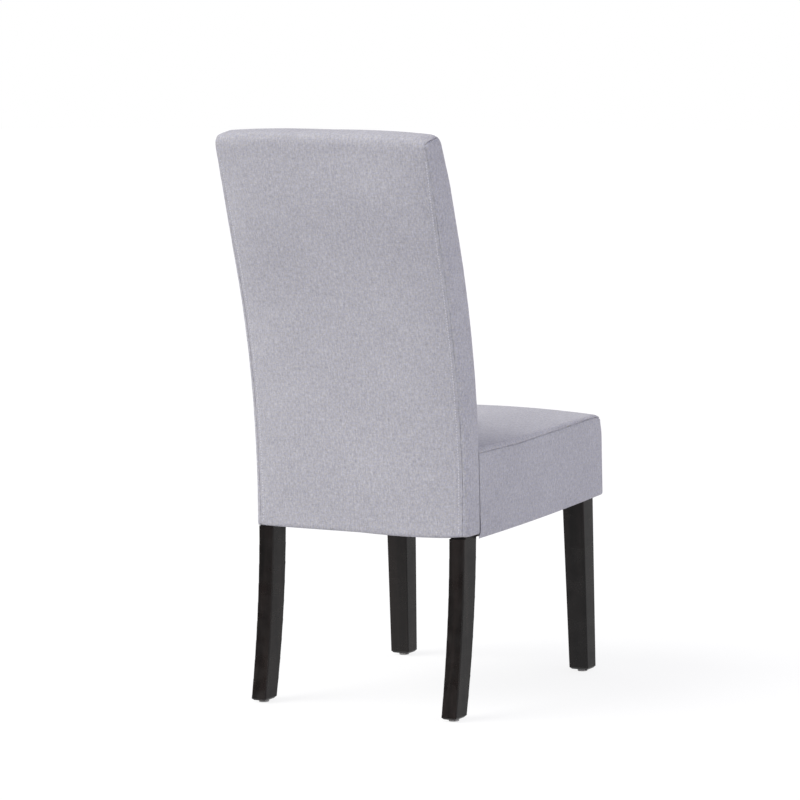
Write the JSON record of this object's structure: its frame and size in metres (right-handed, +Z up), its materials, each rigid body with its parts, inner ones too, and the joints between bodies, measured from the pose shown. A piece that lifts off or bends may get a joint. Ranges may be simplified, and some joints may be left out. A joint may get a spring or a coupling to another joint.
{
  "type": "dining chair",
  "caption": "High-back dining chair, fully upholstered in pale grey woven fabric, with a curved back, boxed seat and dark wooden legs, the rear legs splayed.",
  "frame": {"origin": "on the floor under the centre of the chair's overall outline, level with the undersides of the foot glides", "axes": "+Z up, -Y the way the sitter faces (the chair's front), +X the sitter's left"},
  "size_m": [0.434, 0.61, 1.015],
  "materials": {
    "leg_wood": "espresso stain, satin lacquer",
    "frame_wood": "planed, unfinished",
    "dowel_wood": "beech, unfinished",
    "panel_board": "bent fibreboard, unfinished",
    "cover_fabric": "heathered linen-look plain weave, pale grey-lavender",
    "wadding": "bonded fibre",
    "foam": "open-cell foam",
    "webbing": "woven elastic",
    "base_cloth": "black non-woven",
    "glide_nylon": "moulded",
    "plated_steel": "zinc plated",
    "insert_brass": "machined"
  },
  "bodies": {
    "root": {"back_base_strip": "base_cloth", "back_bottom_rail": "frame_wood", "back_cover": "cover_fabric", "back_dowels": "dowel_wood", "back_foam": "foam", "back_middle_rail": "frame_wood", "back_rear_panel": "panel_board", "back_side_panel_left": "cover_fabric", "back_side_panel_right": "cover_fabric", "back_top_rail": "frame_wood", "back_wadding": "wadding", "back_webbing": "webbing", "corner_block_front_left": "frame_wood", "corner_block_front_right": "frame_wood", "corner_block_rear_left": "frame_wood", "corner_block_rear_right": "frame_wood", "corner_block_screws": "plated_steel", "dust_cover": "base_cloth", "dust_cover_staples": "plated_steel", "front_leg_left": "leg_wood", "front_leg_right": "leg_wood", "front_rail_screws": "plated_steel", "glide_front_left": "glide_nylon", "glide_front_right": "glide_nylon", "glide_nails": "plated_steel", "glide_rear_left": "glide_nylon", "glide_rear_right": "glide_nylon", "leg_bolt_nuts": "plated_steel", "leg_bolt_washers": "plated_steel", "leg_hanger_bolts": "plated_steel", "rear_post_left": "leg_wood", "rear_post_right": "leg_wood", "seat_bolt_washers": "plated_steel", "seat_bolts": "plated_steel", "seat_cover": "cover_fabric", "seat_dowels": "dowel_wood", "seat_foam": "foam", "seat_front_pad": "foam", "seat_front_rail": "frame_wood", "seat_rear_rail": "frame_wood", "seat_side_panel_left": "cover_fabric", "seat_side_panel_right": "cover_fabric", "seat_side_rail_left": "frame_wood", "seat_side_rail_right": "frame_wood", "seat_wadding": "wadding", "seat_webbing_crosswise": "webbing", "seat_webbing_lengthwise": "webbing", "threaded_inserts": "insert_brass"}
  },
  "joints": []
}
